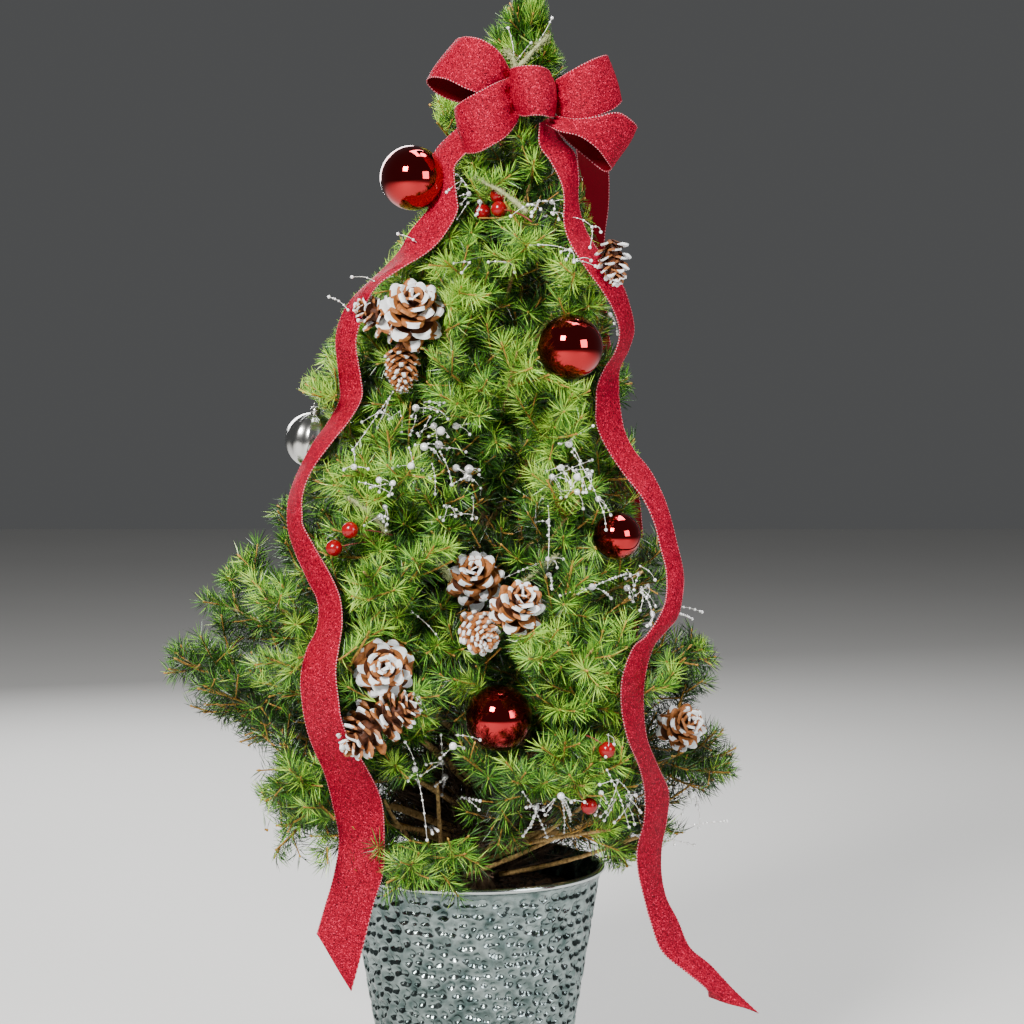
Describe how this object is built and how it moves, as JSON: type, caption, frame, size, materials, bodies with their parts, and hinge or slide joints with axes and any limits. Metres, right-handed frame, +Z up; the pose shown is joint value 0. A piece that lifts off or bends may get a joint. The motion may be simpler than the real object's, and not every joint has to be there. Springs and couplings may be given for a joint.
{
  "type": "potted spruce christmas tree",
  "caption": "Small living spruce in a hammered steel pail: a leaning trunk with ringed tiers of boughs and needle masses, dressed with a bow, ribbons, cones and balls.",
  "frame": {"origin": "centre of the pail's flat underside", "axes": "+Z up along the pail's axis, -Y towards the viewer of the picture, +X to that viewer's right"},
  "size_m": [0.5749, 0.533, 1.1238],
  "materials": {
    "pail_steel": "hammered galvanised steel",
    "compost": "dark, crumbly",
    "bark": "rough bark",
    "needles": "green needles",
    "ribbon": "red glitter ribbon with a satin back",
    "red_ball": "mirror-coated red",
    "silver_ball": "fluted silver",
    "cone": "pine cone with white tips",
    "berry": "glossy red",
    "bead": "pearly silver",
    "wire": "thin bright wire",
    "flock": "pale flocked stem"
  },
  "bodies": {
    "root": {"bough_rim_1": "bark", "bough_rim_2": "bark", "bough_rim_3": "bark", "bough_rim_4": "bark", "bough_rim_5": "bark", "bough_skirt_1": "bark", "bough_skirt_2": "bark", "bough_skirt_3": "bark", "bough_skirt_4": "bark", "bough_skirt_5": "bark", "bough_wide_1": "bark", "bough_wide_2": "bark", "bough_wide_3": "bark", "bough_wide_4": "bark", "bough_wide_5": "bark", "bough_wide_6": "bark", "compost": "compost", "foliage_chest_1": "needles", "foliage_chest_2": "needles", "foliage_chest_3": "needles", "foliage_chest_4": "needles", "foliage_collar_1": "needles", "foliage_collar_2": "needles", "foliage_collar_3": "needles", "foliage_crest_1": "needles", "foliage_crest_2": "needles", "foliage_crest_3": "needles", "foliage_leader": "needles", "foliage_middle_1": "needles", "foliage_middle_2": "needles", "foliage_middle_3": "needles", "foliage_middle_4": "needles", "foliage_neck_1": "needles", "foliage_neck_2": "needles", "foliage_neck_3": "needles", "foliage_neck_4": "needles", "foliage_rim_1": "needles", "foliage_rim_2": "needles", "foliage_rim_3": "needles", "foliage_rim_4": "needles", "foliage_rim_5": "needles", "foliage_skirt_1": "needles", "foliage_skirt_2": "needles", "foliage_skirt_3": "needles", "foliage_skirt_4": "needles", "foliage_skirt_5": "needles", "foliage_waist_1": "needles", "foliage_waist_2": "needles", "foliage_waist_3": "needles", "foliage_waist_4": "needles", "foliage_waist_5": "needles", "foliage_wide_1": "needles", "foliage_wide_2": "needles", "foliage_wide_3": "needles", "foliage_wide_4": "needles", "foliage_wide_5": "needles", "foliage_wide_6": "needles", "pail": "pail_steel", "trunk": "bark"}
  },
  "joints": []
}
